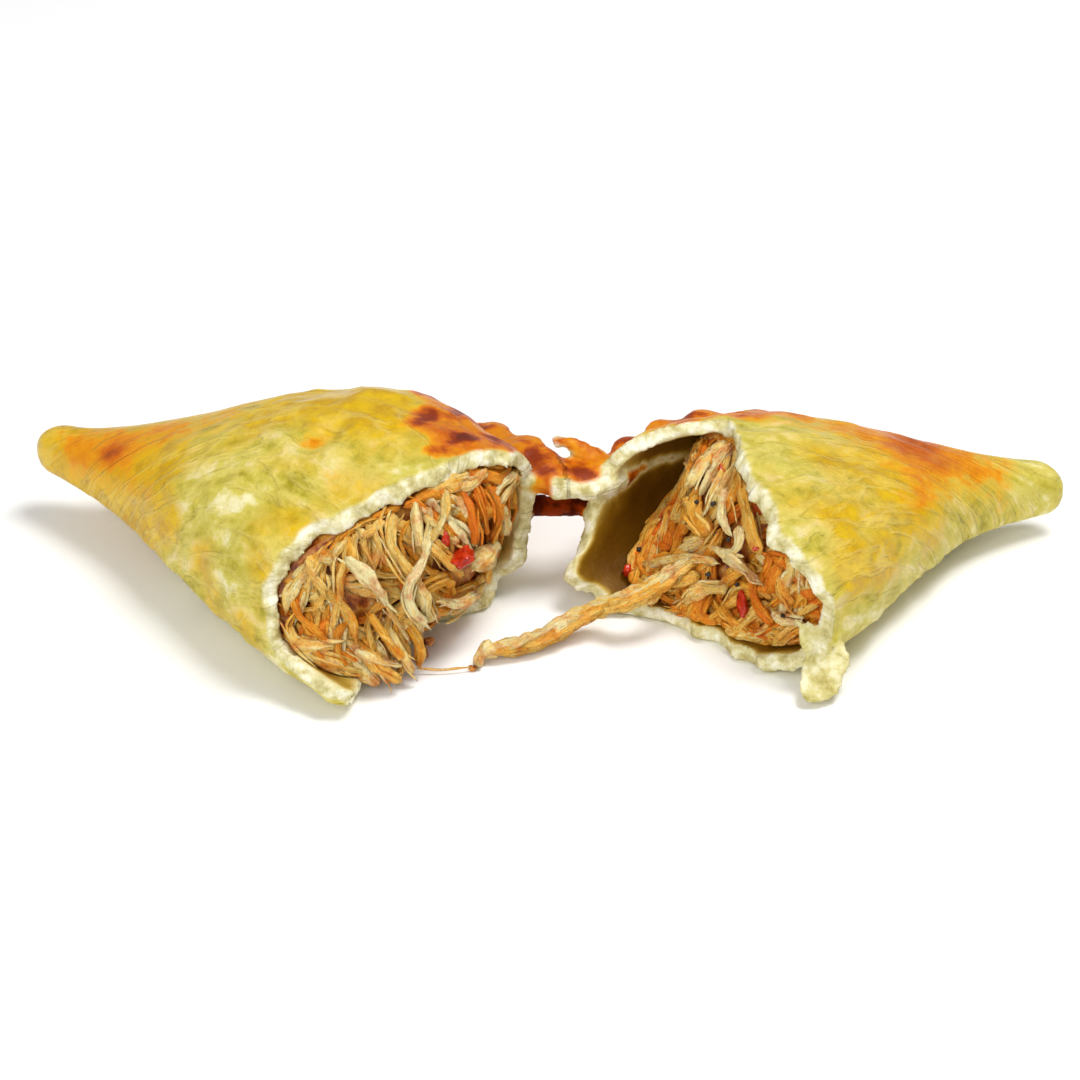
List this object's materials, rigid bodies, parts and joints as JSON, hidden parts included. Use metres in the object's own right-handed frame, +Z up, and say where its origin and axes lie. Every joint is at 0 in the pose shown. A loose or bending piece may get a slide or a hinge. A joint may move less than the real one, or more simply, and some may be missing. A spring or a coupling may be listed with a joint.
{
  "type": "empanada",
  "caption": "Baked half-moon pastry torn open across its middle and spread like a book, with a browned sealed rim and shredded chicken inside, to eat by hand.",
  "frame": {"origin": "middle of the bounding box, on the surface that it rests on", "axes": "+Z up, +X along the length from the left tip to the right tip, -Y out of the torn mouths"},
  "size_m": [0.1903, 0.0794, 0.0362],
  "materials": {
    "crust": "baked wheat dough with a glossy egg wash, browned at the rim and tips",
    "chicken": "moist shredded chicken in orange-red sauce"
  },
  "bodies": {
    "root": {"crust": "crust", "filling_left": "chicken", "filling_right": "chicken"}
  },
  "joints": []
}
